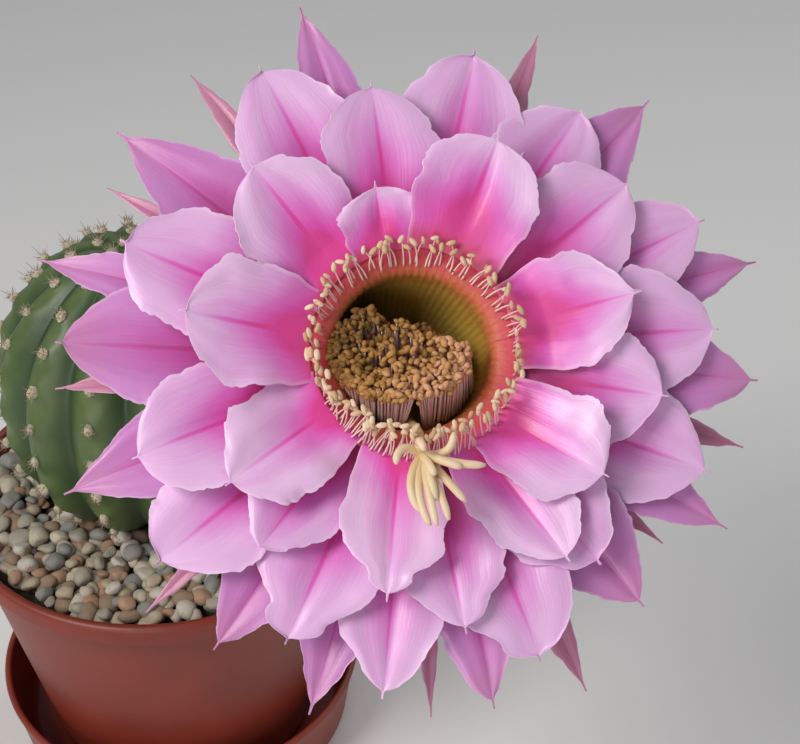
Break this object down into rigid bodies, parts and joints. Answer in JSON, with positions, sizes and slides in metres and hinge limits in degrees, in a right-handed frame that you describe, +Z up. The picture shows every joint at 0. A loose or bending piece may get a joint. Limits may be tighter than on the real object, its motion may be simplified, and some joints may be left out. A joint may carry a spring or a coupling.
{
  "type": "potted round cactus",
  "caption": "Round ribbed cactus in a tapered pot on a saucer, with gravel and one wide many-petalled flower on a long tube.",
  "frame": {"origin": "centre of the saucer's flat underside", "axes": "+Z up, and the flower faces -Y, up, and a little towards +X"},
  "size_m": [0.2175, 0.2006, 0.2556],
  "materials": {
    "pot_plastic": "satin",
    "soil": "matte",
    "gravel": "matte",
    "cactus_skin": "satin",
    "tube_skin": "matte",
    "petal": "satin",
    "tepal": "satin",
    "stamen": "matte",
    "stigma": "satin"
  },
  "bodies": {
    "root": {"cactus_body": "cactus_skin", "flower_tube": "tube_skin", "gravel": "gravel", "inner_petal_01": "petal", "inner_petal_02": "petal", "inner_petal_03": "petal", "inner_petal_04": "petal", "inner_petal_05": "petal", "inner_petal_06": "petal", "inner_petal_07": "petal", "inner_petal_08": "petal", "inner_petal_09": "petal", "middle_petal_01": "petal", "middle_petal_02": "petal", "middle_petal_03": "petal", "middle_petal_04": "petal", "middle_petal_05": "petal", "middle_petal_06": "petal", "middle_petal_07": "petal", "middle_petal_08": "petal", "middle_petal_09": "petal", "middle_petal_10": "petal", "middle_petal_11": "petal", "middle_petal_12": "petal", "middle_petal_13": "petal", "middle_petal_14": "petal", "middle_petal_15": "petal", "middle_petal_16": "petal", "middle_petal_17": "petal", "middle_petal_18": "petal", "outer_petal_01": "petal", "outer_petal_02": "petal", "outer_petal_03": "petal", "outer_petal_04": "petal", "outer_petal_05": "petal", "outer_petal_06": "petal", "outer_petal_07": "petal", "outer_petal_08": "petal", "outer_petal_09": "petal", "outer_petal_10": "petal", "outer_petal_11": "petal", "outer_petal_12": "petal", "outer_petal_13": "petal", "pot": "pot_plastic", "saucer": "pot_plastic", "small_tepal_01": "tepal", "small_tepal_02": "tepal", "small_tepal_03": "tepal", "small_tepal_04": "tepal", "small_tepal_05": "tepal", "small_tepal_06": "tepal", "small_tepal_07": "tepal", "small_tepal_08": "tepal", "small_tepal_09": "tepal", "soil": "soil", "stamen_bunch": "stamen", "stamen_ring": "stamen", "stigma": "stigma", "style": "stigma"}
  },
  "joints": []
}
